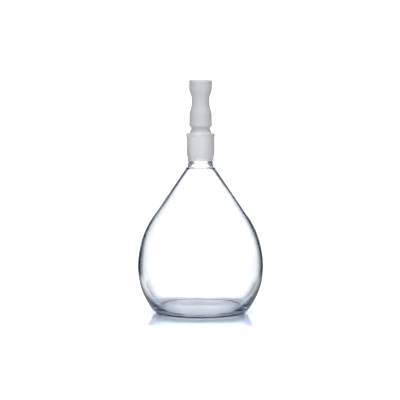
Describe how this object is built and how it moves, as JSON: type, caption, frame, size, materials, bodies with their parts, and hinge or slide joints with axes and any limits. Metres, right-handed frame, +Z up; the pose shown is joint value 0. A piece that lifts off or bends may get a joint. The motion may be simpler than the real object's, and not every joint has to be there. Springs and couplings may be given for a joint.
{
  "type": "specific gravity bottle",
  "caption": "Pear-shaped clear glass specific gravity bottle on a pushed-up base, with a ground socket and a waisted capillary stopper that lifts out.",
  "frame": {"origin": "middle of the ring that the bottle stands on", "axes": "+Z up along the axis of revolution, the way the stopper lifts; X and Y are alike"},
  "size_m": [0.0586, 0.0586, 0.1084],
  "materials": {
    "blown_glass": "clear, fire-polished",
    "socket_glass": "clear outside, finely ground bore",
    "ground_glass": "finely ground, matt"
  },
  "bodies": {
    "flask": {"bulb": "blown_glass", "ground_socket": "socket_glass"},
    "stopper": {"capillary_stopper": "ground_glass"}
  },
  "joints": [
    {"name": "stopper_lift", "type": "slide", "parent": "flask", "child": "stopper", "axis": [0, 0, 1], "range_m": [0, 0.03]}
  ]
}
